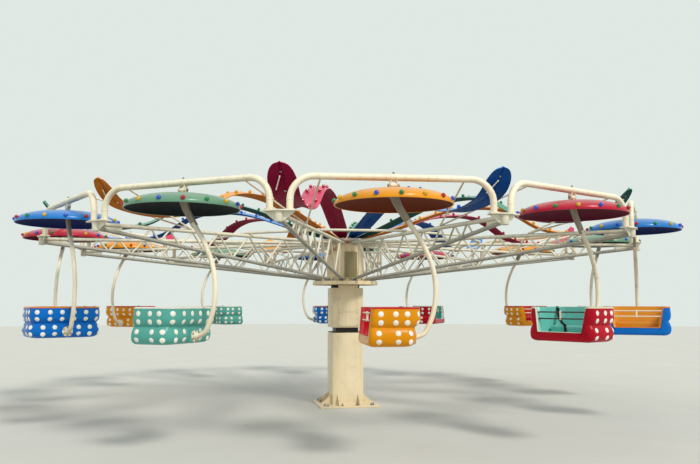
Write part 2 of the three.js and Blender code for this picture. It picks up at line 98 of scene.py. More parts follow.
floor_paint = bpy.data.materials.new("pale_floor")
floor_paint.use_nodes = True
tree = floor_paint.node_tree
place = put(tree, "TexCoord").outputs["Object"]
shade = blended(tree, noise(tree, place, 0.7, 5), linear(0.77, 0.765, 0.75), linear(0.81, 0.805, 0.79))
tree.links.new(shade, tree.nodes["Principled BSDF"].inputs["Base Color"])
tree.nodes["Principled BSDF"].inputs["Roughness"].default_value = 0.85
bm = bmesh.new()
bmesh.ops.create_circle(bm, cap_ends=True, segments=96, radius=60)
floor_mesh = bpy.data.meshes.new("floor")
bm.to_mesh(floor_mesh)
bm.free()
floor_mesh.materials.append(floor_paint)
ground = bpy.data.objects.new("floor", floor_mesh)
scene.collection.objects.link(ground)

sky = bpy.data.worlds.new("sky")
sky.use_nodes = True
sky.node_tree.nodes["Background"].inputs["Color"].default_value = linear(0.88, 0.91, 0.89)
scene.world = sky
sun = bpy.data.objects.new("sun", bpy.data.lights.new("sun", "SUN"))
sun.data.energy = 1.9
sun.data.angle = math.radians(12)
sun.data.color = (1, 0.95, 0.86)
sun.rotation_euler = (math.radians(46), 0, math.radians(34))
scene.collection.objects.link(sun)


# Base column: a square box of welded plate on a foot flange that is bolted down. It is hollow, and
# a guide frame closes its mouth round the inner column, under a clamped rubber wiper.
def group(name, inputs):
    """An empty node group for a colour, a roughness and a fine relief, with its input sockets."""
    tree = bpy.data.node_groups.new(name, "ShaderNodeTree")
    for label, value in inputs.items():
        kind = "NodeSocketColor" if isinstance(value, tuple) else "NodeSocketFloat"
        tree.interface.new_socket(label, in_out="INPUT", socket_type=kind).default_value = value
    for label, kind in (("Color", "Color"), ("Roughness", "Float"), ("Height", "Float")):
        tree.interface.new_socket(label, in_out="OUTPUT", socket_type="NodeSocket" + kind)
    return tree, tree.nodes.new("NodeGroupInput").outputs, tree.nodes.new("NodeGroupOutput").inputs


def weathered_paint_group():
    """Brushed steel paint outdoors: cloudy fading, rain streaks, grime and painted shade on undersides, rust
    specks.
    """
    tree, given, out = group(
        "weathered paint",
        {"Paint": linear(0.96, 0.93, 0.84), "Grime and Shade": linear(0.62, 0.5, 0.38),
         "Rust": linear(0.5, 0.27, 0.11), "Grime Amount": 0.5, "Rust Amount": 0.2})
    place = put(tree, "TexCoord").outputs["Object"]
    normal = put(tree, "SeparateXYZ", {0: put(tree, "NewGeometry").outputs["Normal"]}).outputs["Z"]
    cloud = noise(tree, place, 1.7, 5)
    streak = noise(tree, place, 2.5, 4, stretch=(6, 6, 0.45))
    speck = noise(tree, place, 38, 6)
    patch = noise(tree, place, 4.5, 6)
    # Down-facing surfaces take the grime colour: partly grime, partly painted shade.
    underside_grime_and_shade = band(tree, normal, 0.15, -0.8)
    faded = blended(tree, band(tree, cloud, 0.35, 0.7, 0, 0.4), given["Paint"],
                    blended(tree, 0.3, given["Paint"], given["Grime and Shade"]))
    streaks = times(tree, band(tree, streak, 0.5, 0.78), 0.45)
    grime_and_shade = plus(tree, times(tree, underside_grime_and_shade, band(tree, cloud, 0.2, 0.6, 0.6, 1)), streaks)
    grime_and_shade = times(tree, grime_and_shade, given["Grime Amount"])
    fine = times(tree, band(tree, speck, 0.6, 0.75, 0, 0.6), given["Grime Amount"])
    colour = blended(tree, plus(tree, grime_and_shade, times(tree, fine, 0.4)), faded, given["Grime and Shade"])
    rusty = times(tree, band(tree, patch, 0.56, 0.68), band(tree, speck, 0.4, 0.6))
    rusty = times(tree, rusty, given["Rust Amount"])
    tree.links.new(blended(tree, rusty, colour, given["Rust"]), out["Color"])
    rough = plus(tree, band(tree, cloud, 0.3, 0.7, 0.38, 0.5), times(tree, plus(tree, grime_and_shade, rusty), 0.3))
    tree.links.new(rough, out["Roughness"])
    tree.links.new(plus(tree, times(tree, speck, 0.35), times(tree, rusty, 0.65)), out["Height"])
    return tree


weathered_paint = weathered_paint_group()


def finished(name, effect, values, bump=0.15, metallic=0.0, coat=0.0, grain=0.002, shine=0.4):
    """A material whose colour, roughness and fine relief come from one of the effect groups."""
    made = bpy.data.materials.new(name)
    made.use_nodes = True
    tree = made.node_tree
    shader = tree.nodes["Principled BSDF"]
    shader.inputs["Metallic"].default_value = metallic
    shader.inputs["Coat Weight"].default_value = coat
    shader.inputs["Coat Roughness"].default_value = 0.15
    shader.inputs["Specular IOR Level"].default_value = shine
    look = tree.nodes.new("ShaderNodeGroup")
    look.name = "look"
    look.node_tree = effect
    for label, value in values.items():
        look.inputs[label].default_value = value
    relief = put(tree, "Bump", {"Strength": bump, "Distance": grain, "Height": look.outputs["Height"]})
    tree.links.new(look.outputs["Color"], shader.inputs["Base Color"])
    tree.links.new(look.outputs["Roughness"], shader.inputs["Roughness"])
    tree.links.new(relief.outputs[0], shader.inputs["Normal"])
    return made


def painted(name, paint=(0.96, 0.93, 0.84), grime_and_shade=(0.62, 0.5, 0.38), grime_and_shade_amount=0.5, rusty=0.2, **look):
    """Weathered paint in a colour, with the colour of its grime and painted underside shade, how strong these
    are and how rusty it is.
    """
    values = {"Paint": linear(*paint), "Grime and Shade": linear(*grime_and_shade), "Grime Amount": grime_and_shade_amount, "Rust Amount": rusty}
    return finished(name, weathered_paint, values, **look)


column_cream = painted("column_paint", (0.91, 0.84, 0.7), (0.55, 0.49, 0.4), 0.45, 0.15)
bolt_steel = painted("zinc_steel", (0.62, 0.62, 0.6), (0.3, 0.28, 0.25), 0.5, 0.5, metallic=0.6)
black_rubber = painted("black_rubber", (0.1, 0.1, 0.1), (0.25, 0.24, 0.22), 0.3, 0.0, shine=0.2)


def pulled(bm, edges):
    """Pulls a loop of edges into a new strip of wall, and gives its new corners, edges and faces."""
    made = bmesh.ops.extrude_edge_only(bm, edges=edges)["geom"]
    kinds = (bmesh.types.BMVert, bmesh.types.BMEdge, bmesh.types.BMFace)
    return [[g for g in made if isinstance(g, kind)] for kind in kinds]


def square_rings(bm, rings, closed=True):
    """A square body whose wall follows a list of (half width, height) rings. Unless it is closed, the
    rings come back to the first one and leave the middle open."""
    half, height = rings[0]
    start = bmesh.ops.create_grid(bm, x_segments=1, y_segments=1, size=half)["verts"]
    bmesh.ops.translate(bm, vec=(0, 0, height), verts=start)
    edges = list({e for v in start for e in v.link_edges})
    if not closed:
        bmesh.ops.delete(bm, geom=list({f for v in start for f in v.link_faces}), context="FACES_ONLY")
    for (before, low), (after, high) in zip(rings, rings[1:]):
        corners, edges, _ = pulled(bm, edges)
        share = after / before
        bmesh.ops.scale(bm, vec=(share, share, 1), space=Matrix.Translation((0, 0, -low)), verts=corners)
        bmesh.ops.translate(bm, vec=(0, 0, high - low), verts=corners)
    if closed:
        bmesh.ops.edgeloop_fill(bm, edges=edges)
    else:
        bmesh.ops.remove_doubles(bm, verts=bm.verts, dist=0.00005)


def eased(bm, width, segments=2):
    """Rounds the sharp edges that are there so far."""
    sharp = [e for e in bm.edges if e.is_manifold and e.calc_face_angle(0) > math.radians(30)]
    bmesh.ops.bevel(bm, geom=sharp, offset=width, segments=segments, profile=0.5,
                    affect="EDGES", clamp_overlap=True, material=-1)


def upto(start, heading):
    """The turn and move that stands a shape made along +Z at a point, along a direction."""
    return Matrix.Translation(start) @ Vector(heading).to_track_quat("Z", "Y").to_matrix().to_4x4()


def dyed(verts, material):
    """Gives a material to the faces round some corners."""
    for face in {f for v in verts for f in v.link_faces}:
        face.material_index = material


def disc(bm, start, heading, radius, length, sides=24, top=None, material=0):
    """A round or many-sided boss from a point along a direction."""
    along = Vector(heading).normalized()
    made = bmesh.ops.create_cone(
        bm, cap_ends=True, segments=sides, radius1=radius, radius2=radius if top is None else top,
        depth=length, matrix=upto(Vector(start) + along * length / 2, along))
    dyed(made["verts"], material)


def bolt(bm, start, heading, size, material=1):
    """A washer and a six-sided head with a rounded crown, across-flats about twice the size."""
    heading = Vector(heading).normalized()
    disc(bm, start, heading, size * 1.35, size * 0.28, sides=12, material=material)
    disc(bm, Vector(start) + heading * size * 0.28, heading, size, size * 0.75, sides=6,
         top=size * 0.93, material=material)


def box(bm, middle, size, ease=0.0, material=0, segments=1):
    """A block with eased edges, from its middle and its three widths."""
    verts = bmesh.ops.create_cube(bm, size=1)["verts"]
    bmesh.ops.scale(bm, vec=size, verts=verts)
    bmesh.ops.translate(bm, vec=middle, verts=verts)
    dyed(verts, material)
    if ease:
        edges = list({e for v in verts for e in v.link_edges})
        verts = bmesh.ops.bevel(bm, geom=edges, offset=ease, segments=segments, profile=0.5, affect="EDGES",
                                material=-1)["verts"]
    return verts


CREASE = math.radians(35)


def piece(name, bm, materials, body, replaced, turn=0.0, reach=0.0):
    """Makes a finished object of a shape, moved out from the ride's axis and turned about it."""
    bmesh.ops.recalc_face_normals(bm, faces=bm.faces)
    mesh = bpy.data.meshes.new(name)
    bm.to_mesh(mesh)
    mesh.transform(Matrix.Rotation(turn, 4, "Z") @ Matrix.Translation((reach, 0, 0)))
    for material in materials:
        mesh.materials.append(material)
    mesh.shade_smooth()
    mesh.set_sharp_from_angle(angle=CREASE)
    made = bpy.data.objects.new(name, mesh)
    scene.collection.objects.link(made)
    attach(made, body)
    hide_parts(replaced)


COLUMN_TURN = math.radians(11)
COLUMN_HALF = 0.3
COLUMN_TOP = 1.4
FLANGE_HALF = 0.575
FLANGE_TOP = 0.03
MOUTH_HALF = 0.226
BORE_HALF = 0.28
GUIDE_FOOT = 1.34
bm = bmesh.new()
square_rings(bm, [(FLANGE_HALF, 0), (FLANGE_HALF, FLANGE_TOP), (0.31, FLANGE_TOP), (COLUMN_HALF, 0.04),
                  (COLUMN_HALF, COLUMN_TOP), (MOUTH_HALF, COLUMN_TOP), (MOUTH_HALF, GUIDE_FOOT),
                  (BORE_HALF, GUIDE_FOOT), (BORE_HALF, FLANGE_TOP)])
eased(bm, 0.004)
for side in range(4):
    turn = Matrix.Rotation(side * math.pi / 2, 4, "Z")
    for along in (-0.42, -0.14, 0.14, 0.42):
        foot = turn @ Vector((along, -0.47, FLANGE_TOP))
        bolt(bm, foot, (0, 0, 1), 0.022)
        disc(bm, foot, (0, 0, 1), 0.011, 0.05, sides=12, material=1)
    for along in (-0.2, 0.2):
        rib = box(bm, (along, -0.4, 0.13), (0.014, 0.2, 0.2))
        for vert in rib:
            if vert.co.y < -0.4 and vert.co.z > 0.1:
                vert.co.z = 0.06
        bmesh.ops.transform(bm, matrix=turn, verts=rib)
piece("base_column_box", bm, [column_cream, bolt_steel], "base", "base_column",
      turn=COLUMN_TURN)
bm.free()

WIPER_FOOT = COLUMN_TOP + 0.0005
bm = bmesh.new()
square_rings(bm, [(0.223, WIPER_FOOT), (0.296, WIPER_FOOT), (0.296, COLUMN_TOP + 0.012),
                  (0.223, COLUMN_TOP + 0.016), (0.223, WIPER_FOOT)], closed=False)
eased(bm, 0.002)
for side in range(4):
    turn = Matrix.Rotation(side * math.pi / 2, 4, "Z")
    for along in (-0.2, 0, 0.2):
        bolt(bm, turn @ Vector((along, -0.27, COLUMN_TOP + 0.0125)), (0, 0, 1), 0.008)
piece("mouth_wiper", bm, [black_rubber, bolt_steel], "base", "base_column", turn=COLUMN_TURN)
bm.free()

# Inner column and drive housing: a greased square tube that slides up out of the base column and
# carries the boxed-in drive. The two cover plates on its front are screwed on and stand proud.
greased_steel = painted("greased_steel", (0.22, 0.21, 0.2), (0.09, 0.08, 0.07), 0.8, 0.3, metallic=0.5)
bm = bmesh.new()
square_rings(bm, [(0.22, 0.0303), (0.22, 1.4997)])
eased(bm, 0.012, 3)
piece("inner_column_tube", bm, [greased_steel], "lift", "inner_column", turn=COLUMN_TURN)
bm.free()

bm = bmesh.new()
square_rings(bm, [(COLUMN_HALF, 1.5), (COLUMN_HALF, 2.27)])
eased(bm, 0.006)
PLATE_SEAM = 1.8
for low, high in ((1.53, PLATE_SEAM - 0.002), (PLATE_SEAM + 0.002, 2.322)):
    box(bm, (0, -0.3065, (low + high) / 2), (0.39, 0.015, high - low), ease=0.003)
    for side in (-0.178, 0.178):
        for share in (0.08, 0.5, 0.92):
            bolt(bm, (side, -0.314, low + (high - low) * share), (0, -1, 0), 0.007)
for side in (1, 2, 3):
    turn = Matrix.Rotation(side * math.pi / 2, 4, "Z")
    verts = box(bm, (0, -0.3025, 1.885), (0.46, 0.007, 0.62), ease=0.002)
    bmesh.ops.transform(bm, matrix=turn, verts=verts)
    for across in (-0.2, 0.2):
        for height in (1.62, 1.885, 2.15):
            bolt(bm, turn @ Vector((across, -0.306, height)), turn @ Vector((0, -1, 0)), 0.007)
piece("drive_housing", bm, [column_cream, bolt_steel], "lift", "lift_housing",
      turn=COLUMN_TURN)
bm.free()


# Slewing ring: the greased ball race the whole rotor turns on. Its lower ring is bolted to the
# housing, and the split between the two rings shows as a groove.
def turned_body(profile, segments=48):
    """Spins a half section of (radius, height) points round the upright axis."""
    bm = bmesh.new()
    verts = [bm.verts.new((radius, 0, height)) for radius, height in profile]
    edges = [bm.edges.new(pair) for pair in zip(verts, verts[1:])]
    bmesh.ops.spin(bm, geom=verts + edges, cent=(0, 0, 0), axis=(0, 0, 1), angle=2 * math.pi,
                   steps=segments, use_merge=True)
    bmesh.ops.remove_doubles(bm, verts=bm.verts, dist=0.00005)
    bmesh.ops.recalc_face_normals(bm, faces=bm.faces)
    return bm


def added(bm, other, place=None):
    """Copies one shape into another, at a place."""
    mesh = bpy.data.meshes.new("copy")
    other.to_mesh(mesh)
    if place:
        mesh.transform(place)
    bm.from_mesh(mesh)
    bpy.data.meshes.remove(mesh)


def around(radius, degrees, height):
    """A point at a distance and turn about the ride's axis."""
    turn = math.radians(degrees)
    return Vector((radius * math.cos(turn), radius * math.sin(turn), height))


bm = turned_body([(0, 2.2703), (0.285, 2.2703), (0.285, 2.294), (0.277, 2.297), (0.277, 2.303),
                  (0.285, 2.306), (0.285, 2.3297), (0, 2.3297)])
for i in range(20):
    bolt(bm, around(0.262, 18 * i + 9, 2.262), (0, 0, -1), 0.009)
piece("slewing_ring_race", bm, [greased_steel, bolt_steel], "lift", "slewing_ring",
      turn=COLUMN_TURN)
bm.free()

# Hub: a drum of rolled plate between a thick bottom flange and a crown plate, all welded. An
# inspection hatch sits low on the drum, and rust runs down from the crown plate's weld.
hub_cream = painted("hub_paint", (0.97, 0.89, 0.74), (0.56, 0.42, 0.29), 0.6)
tree = hub_cream.node_tree
tree.nodes["look"].inputs["Rust"].default_value = linear(0.7, 0.38, 0.16)
height = put(tree, "SeparateXYZ", {0: put(tree, "TexCoord").outputs["Object"]}).outputs["Z"]
tree.links.new(band(tree, height, 2.88, 3.02, 0.5, 2.2), tree.nodes["look"].inputs["Rust Amount"])
hatch_grey = painted("hatch_paint", (0.62, 0.58, 0.42), (0.36, 0.32, 0.22), 0.6, 0.4)
crown_white = painted("crown_paint", (0.9, 0.84, 0.8), grime_and_shade_amount=0.3)
DRUM_RADIUS = 0.365
DRUM_TOP = 3.1843
SPIGOT_TOP = 3.29
bm = turned_body([
    (0, 2.33), (0.64, 2.33), (0.645, 2.335), (0.645, 2.395), (0.64, 2.4), (0.375, 2.4), (DRUM_RADIUS, 2.41),
    (DRUM_RADIUS, 3.172), (0.376, DRUM_TOP), (0.47, DRUM_TOP), (0.475, 3.188), (0.475, 3.231), (0.47, 3.235),
    (0.092, 3.235), (0.09, 3.238), (0.09, 3.286), (0.086, SPIGOT_TOP), (0, SPIGOT_TOP)], 72)
for face in bm.faces:
    if face.calc_center_median().z > DRUM_TOP - 0.001:
        face.material_index = 3
for i in range(24):
    bolt(bm, around(0.6, 15 * i + 7.5, 2.4), (0, 0, 1), 0.016)
for i in range(6):
    bolt(bm, around(0.055, 60 * i, SPIGOT_TOP), (0, 0, 1), 0.01)
HATCH_TURN = Matrix.Rotation(math.radians(17.7), 4, "Z")
hatch = box(bm, (0, -DRUM_RADIUS, 2.727), (0.245, 0.05, 0.49), ease=0.005, material=2, segments=2)
bmesh.ops.transform(bm, matrix=HATCH_TURN, verts=hatch)
for across in (-0.105, 0.105):
    for height in (2.52, 2.727, 2.935):
        bolt(bm, HATCH_TURN @ Vector((across, -0.39, height)), HATCH_TURN @ Vector((0, -1, 0)), 0.007)
piece("hub_drum", bm, [hub_cream, bolt_steel, hatch_grey, crown_white], "rotor", "hub")
bm.free()

# Lattice arms: a cream upper and a thicker lower chord braced in a zigzag of thin tube, all
# welded, bolted to lugs on the hub. The lower chord's greyer cream is painted shade with some dirt. The tip's
# gusset, post and winged plate take the gantry feet.
BAYS = 12
arm_turns = [math.radians(-98.47 + 30 * i) for i in range(BAYS)]
bay_turns = [turn + math.radians(15) for turn in arm_turns]
ARM_START = 0.378
ARM_TIP = 5.6
UPPER_CHORD = 0.03
LOWER_CHORD = 0.03


def upper_z(radius):
    return 3.154 + (3.066 - 3.154) * (radius - ARM_START) / (ARM_TIP - ARM_START)


def lower_z(radius):
    return 2.4302 + (3.01 - 2.4302) * (radius - ARM_START) / (ARM_TIP - ARM_START)


def lofted(bm, rings, material=0):
    """Pulls a closed outline through a list of like outlines and closes both ends."""
    face = bm.faces.new([bm.verts.new(point) for point in rings[0]])
    faces, edges, verts = [face], list(face.edges), list(face.verts)
    for ring in rings[1:]:
        new, edges, walls = pulled(bm, edges)
        faces += walls
        verts = [next(e.other_vert(v) for e in v.link_edges if e.other_vert(v) in new) for v in verts]
        for vert, point in zip(verts, ring):
            vert.co = point
    faces += bmesh.ops.edgeloop_fill(bm, edges=edges)["faces"]
    for face in faces:
        face.material_index = material
    return faces


def headings(points):
    """The direction of a route at each of its points."""
    runs = [(b - a).normalized() for a, b in zip(points, points[1:])]
    return [runs[0], *[(a + b).normalized() for a, b in zip(runs, runs[1:])], runs[-1]]


def tube(bm, route, radii, sides=16, material=0):
    """A round bar along a list of points, with a radius at each of them, closed at both ends."""
    points = [Vector(point) for point in route]
    ahead = headings(points)
    side = ahead[0].orthogonal().normalized()
    rings = []
    for i, (point, heading, radius) in enumerate(zip(points, ahead, radii)):
        if i:
            side = ahead[i - 1].rotation_difference(heading) @ side
        across = heading.cross(side)
        turns = [2 * math.pi * k / sides for k in range(sides)]
        rings.append([point + (side * math.cos(t) + across * math.sin(t)) * radius for t in turns])
    lofted(bm, rings, material)


def welded(bm, start, end, radius, sides, inset=0.0, material=0):
    """A straight tube whose ends flare into a weld bead."""
    weld = 0.005
    start, end = Vector(start), Vector(end)
    along = (end - start).normalized()
    first, last = start + along * inset, end - along * inset
    tube(bm, [first, first + along * weld * 2.5, last - along * weld * 2.5, last],
         [radius + weld, radius, radius, radius + weld], sides, material)


def flat_plate(bm, outline, thickness):
    """A plate cut to an outline of points in one plane, thickened evenly to both sides."""
    corners = [Vector(point) for point in outline]
    step = (corners[1] - corners[0]).cross(corners[2] - corners[1]).normalized() * thickness / 2
    faces = lofted(bm, [[p - step for p in corners], [p + step for p in corners]])
    edges = list({e for f in faces for e in f.edges})
    bmesh.ops.bevel(bm, geom=edges, offset=0.002, segments=1, profile=0.5, affect="EDGES", material=-1)


def repeated(name, bm, materials, body, node, turns, first=0, step=1, reach=0.0):
    """Makes a like piece at each of the turns, or at every so many of them from the first one on."""
    for i in range(first, len(turns), step):
        piece(f"{name}_{i + 1:02d}", bm, materials, body.format(i + 1), f"{node}_{i + 1:02d}",
              turns[i], reach)


arm_cream = painted("arm_paint", (0.92, 0.9, 0.82), (0.47, 0.44, 0.39), 0.6)
# The lower chord's greyer cream stands for painted shade, with some dirt.
chord_shade_and_dirt = painted("chord_paint_shade_and_dirt", (0.7, 0.69, 0.64), (0.36, 0.35, 0.33), 0.6)
WEB_RADIUS = 0.016
WEB_PITCH = 0.84
POST_TOP = 3.111
bm = bmesh.new()
welded(bm, (ARM_START, 0, upper_z(ARM_START)), (ARM_TIP, 0, upper_z(ARM_TIP)), UPPER_CHORD, 20)
welded(bm, (ARM_START, 0, lower_z(ARM_START)), (ARM_TIP, 0, lower_z(ARM_TIP)), LOWER_CHORD, 20, material=2)
webs = [0.72]
while webs[-1] < 4.75:
    webs.append(webs[-1] + WEB_PITCH * (upper_z(webs[-1]) - lower_z(webs[-1])))
web_ends = [(webs[0], webs[0])]
web_ends += [(a, b) if i % 2 == 0 else (b, a) for i, (a, b) in enumerate(zip(webs, webs[1:]))]
for high, low in web_ends:
    welded(bm, (low, 0, lower_z(low)), (high, 0, upper_z(high)), WEB_RADIUS, 10, inset=0.028)
flat_plate(bm, [(5.18, 0, lower_z(5.18)), (ARM_TIP, 0, lower_z(ARM_TIP)), (ARM_TIP, 0, upper_z(ARM_TIP)),
                (5.18, 0, upper_z(5.18))], 0.014)
tube(bm, [(ARM_TIP, 0, height) for height in (2.963, 2.968, 2.972, 3.086, 3.097, POST_TOP)],
     [0.044, 0.052, 0.054, 0.054, 0.062, 0.062], 24)


def wing(side, along, across, height):
    """A place on the tip plate: along a wing from the post, and across it outwards."""
    lean = math.radians(15)
    return (ARM_TIP - along * math.sin(lean) + across * math.cos(lean),
            side * (along * math.cos(lean) + across * math.sin(lean)), height)


HALF_WING = 0.08
WING_REACH = 0.205
WING_Z = 3.107
corner = HALF_WING / math.cos(math.radians(15))
flat_plate(bm, [wing(1, WING_REACH, HALF_WING, WING_Z), (ARM_TIP + corner, 0, WING_Z),
                wing(-1, WING_REACH, HALF_WING, WING_Z), wing(-1, WING_REACH, -HALF_WING, WING_Z),
                (ARM_TIP - corner, 0, WING_Z), wing(1, WING_REACH, -HALF_WING, WING_Z)], 0.018)
rib = [(0.04, 2.98), (0.06, 2.98), (0.195, 3.085), (0.195, 3.099), (0.04, 3.099)]
for side in (-1, 1):
    flat_plate(bm, [wing(side, along, 0, height) for along, height in rib], 0.01)
for height, low, high in ((upper_z(0.44), -0.045, 0.027), (lower_z(0.44), -0.035, 0.05)):
    lug = [(0.362, low), (0.51, low * 0.8), (0.51, high * 0.8), (0.362, high)]
    for side in (-1, 1):
        flat_plate(bm, [(reach, side * 0.046, height + up) for reach, up in lug], 0.012)
        bolt(bm, (0.45, side * 0.052, height), (0, side, 0), 0.012)
for share in (0.34, 0.67):
    middle = ARM_START + (ARM_TIP - ARM_START) * share
    for radius_at, chord, material in ((upper_z, UPPER_CHORD, 0), (lower_z, LOWER_CHORD, 2)):
        ends = [(middle + step, 0, radius_at(middle + step)) for step in (-0.008, -0.004, 0.004, 0.008)]
        tube(bm, ends, [chord, chord + 0.003, chord + 0.003, chord], 20, material)
repeated("arm_truss", bm, [arm_cream, bolt_steel, chord_shade_and_dirt], "rotor", "arm", arm_turns)
bm.free()

# Tie ring: twelve straight tubes that hold the arms a twelfth of a turn apart, resting on the upper
# chords and clamped to each of them by a bolted saddle strap.
TIE_CORNER = 2.65
TIE_TUBE = 0.022
tie_z = upper_z(TIE_CORNER - TIE_TUBE) + UPPER_CHORD + 0.0008 + TIE_TUBE
bm = bmesh.new()
for turn in arm_turns:
    start, end = (around(TIE_CORNER, math.degrees(turn) + step, tie_z) for step in (0, 30))
    tube(bm, [start, end], [TIE_TUBE, TIE_TUBE], 14)
    bmesh.ops.create_uvsphere(bm, u_segments=14, v_segments=8, radius=TIE_TUBE + 0.003,
                              matrix=Matrix.Translation(start))
    for side in (-1, 1):
        spot = around(TIE_CORNER, math.degrees(turn) + side * 1.2, tie_z)
        disc(bm, spot, start - spot, TIE_TUBE + 0.004, 0.02, 14)
piece("tie_tubes", bm, [arm_cream], "rotor", "tie_ring")
bm.free()


# Gantries: an inverted U of bent tube between two arm tips, on bolted flanges, with two thin stays
# in to the arms' upper chords and a clevis on a saddle in the middle for the gondola's pin.
def filleted(points, radius, steps):
    """A route through points with its corners rounded off."""
    points = [Vector(p) for p in points]
    route = [points[0]]
    for before, corner, after in zip(points, points[1:], points[2:]):
        back, on = (before - corner).normalized(), (after - corner).normalized()
        half = back.angle(on) / 2
        centre = corner + (back + on).normalized() * radius / math.sin(half)
        start = corner + back * radius / math.tan(half) - centre
        turn = start.rotation_difference(corner + on * radius / math.tan(half) - centre)
        axis, angle = turn.to_axis_angle()
        route += [centre + Matrix.Rotation(angle * i / steps, 3, axis) @ start for i in range(steps + 1)]
    return [*route, points[-1]]


cream = painted("cream_paint", grime_and_shade_amount=0.55, rusty=0.22)
GANTRY_RADIUS = 5.4
GANTRY_TUBE = 0.044
GANTRY_TOP = 3.551
PIVOT_Z = 3.45
HALF_SPAN = 1.312
BEND = 0.3
FOOT_Z = 3.1163
STAY_FOOT = 3.96
CHEEK = [(-0.02, 0.06, 3.418), (0.02, 0.06, 3.418), (0.034, 0.05, 3.46), (0.034, 0.032, 3.53),
         (-0.034, 0.032, 3.53), (-0.034, 0.05, 3.46)]
bm = bmesh.new()
route = filleted([(0, -HALF_SPAN, FOOT_Z), (0, -HALF_SPAN, GANTRY_TOP), (0, HALF_SPAN, GANTRY_TOP),
                  (0, HALF_SPAN, FOOT_Z)], BEND, 10)
tube(bm, route, [GANTRY_TUBE] * len(route), 28)
for side in (-1, 1):
    foot = Vector((0, side * HALF_SPAN, FOOT_Z))
    disc(bm, foot, (0, 0, 1), 0.068, 0.014, 32)
    disc(bm, foot + Vector((0, 0, 0.014)), (0, 0, 1), 0.05, 0.006, 32, top=GANTRY_TUBE)
    for i in range(6):
        bolt(bm, foot + around(0.058, 60 * i + 30, 0.014), (0, 0, 1), 0.006)
    for across, height, heading in ((HALF_SPAN, GANTRY_TOP - BEND, (0, 0, 1)),
                                    (HALF_SPAN - BEND, GANTRY_TOP, (0, 1, 0)), (0.45, GANTRY_TOP, (0, 1, 0))):
        seam = Vector((0, side * across, height))
        ends = [seam + Vector(heading) * step for step in (-0.008, -0.003, 0.003, 0.008)]
        tube(bm, ends, [GANTRY_TUBE, GANTRY_TUBE + 0.003, GANTRY_TUBE + 0.003, GANTRY_TUBE], 28)
    chord = Matrix.Translation((-GANTRY_RADIUS, 0, 0)) @ Matrix.Rotation(side * math.radians(15), 4, "Z")
    chord_top = upper_z(STAY_FOOT) + UPPER_CHORD
    stay_foot = chord @ Vector((STAY_FOOT, -side * 0.02, chord_top + 0.016))
    welded(bm, stay_foot, (0, side * 0.93, GANTRY_TOP - 0.015), 0.013, 12)
    pad = box(bm, (STAY_FOOT, -side * 0.012, chord_top + 0.0126), (0.09, 0.022, 0.0235), ease=0.002)
    bmesh.ops.transform(bm, matrix=chord, verts=pad)
    flat_plate(bm, [(x, side * y, z) for x, y, z in CHEEK], 0.012)
    disc(bm, (0, side * 0.064, PIVOT_Z), (0, side, 0), 0.022, 0.005, 20, material=1)
    disc(bm, (0, side * 0.069, PIVOT_Z), (0, side, 0), 0.014, 0.011, 6, material=1)
tube(bm, [(0, across, GANTRY_TOP) for across in (-0.045, -0.042, 0.042, 0.045)],
     [GANTRY_TUBE, 0.05, 0.05, GANTRY_TUBE], 28)
disc(bm, (0, -0.075, PIVOT_Z), (0, 1, 0), 0.016, 0.15, 16, material=1)
for height, radius, sides in ((0.047, 0.02, 16), (0.057, 0.014, 6), (0.067, 0.008, 12)):
    disc(bm, (0, 0, GANTRY_TOP + height), (0, 0, 1), radius, 0.01, sides, material=1)
repeated("gantry_tube", bm, [cream, bolt_steel], "rotor", "gantry", bay_turns,
         reach=GANTRY_RADIUS)
bm.free()


# Hangers: the upper part is a tapered flat plate from the pivot eye down through the canopy, and
# the rest a bent tube that sweeps out behind the riders and in to a round flange on the tub's back.
def smooth_route(points, steps=5):
    """A smooth curve through points."""
    points = [Vector(p) for p in points]
    padded = [2 * points[0] - points[1], *points, 2 * points[-1] - points[-2]]
    route = []
    for a, b, c, d in zip(padded, padded[1:], padded[2:], padded[3:]):
        for i in range(steps):
            t = i / steps
            route.append(0.5 * (2 * b + (c - a) * t + (2 * a - 5 * b + 4 * c - d) * t * t
                                + (3 * b - a - 3 * c + d) * t ** 3))
    return [*route, points[-1]]


def flat_bar(bm, route, halves, material):
    """A flat bar along a route in an upright plane across X. Each of the halves is the bar's half
    width along X and square to the route."""
    ease = 0.003
    points = [Vector(point) for point in route]
    rings = []
    for point, heading, (wide, deep) in zip(points, headings(points), halves):
        out = Vector((0, heading.z, -heading.y))
        corners = [(wide - ease, deep), (wide, deep - ease), (wide, ease - deep), (wide - ease, -deep),
                   (ease - wide, -deep), (-wide, ease - deep), (-wide, deep - ease), (ease - wide, deep)]
        rings.append([point + Vector((x, 0, 0)) + out * y for x, y in corners])
    lofted(bm, rings, material)


# The plate's grey is the cream paint darkened as painted shade from the canopy; the canopy's clamp plate and
# bolts take it too.
hanger_plate_shade = painted("hanger_plate_painted_shade", (0.66, 0.62, 0.55), (0.4, 0.36, 0.31), 0.6, 0.25)
HANGER_TUBE = 0.032
PAD_FACE = 0.232
PAD_Z = 1.54
HANGER_LINE = [(-0.012, 3.368), (0.06, 3.19), (0.205, 2.96), (0.325, 2.79), (0.42, 2.61), (0.49, 2.43),
               (0.528, 2.23), (0.53, 2.03), (0.495, 1.83), (0.436, 1.675), (0.386, 1.592),
               (0.315, PAD_Z + 0.012), (PAD_FACE + 0.006, PAD_Z)]
PLATE_END = 11
bm = bmesh.new()
line = smooth_route([(0, y, z) for y, z in HANGER_LINE])
sleeve = line[PLATE_END - 2:]
radii = [HANGER_TUBE + 0.004, HANGER_TUBE + 0.004, *[HANGER_TUBE] * (len(sleeve) - 2)]
for step, wider in enumerate((0.006, 0.012, 0.018, 0.022)):
    radii[len(sleeve) - 4 + step] += wider
tube(bm, sleeve, radii, 22)
halves = [(0.022, 0.06 - 0.022 * i / (PLATE_END - 1)) for i in range(PLATE_END)]
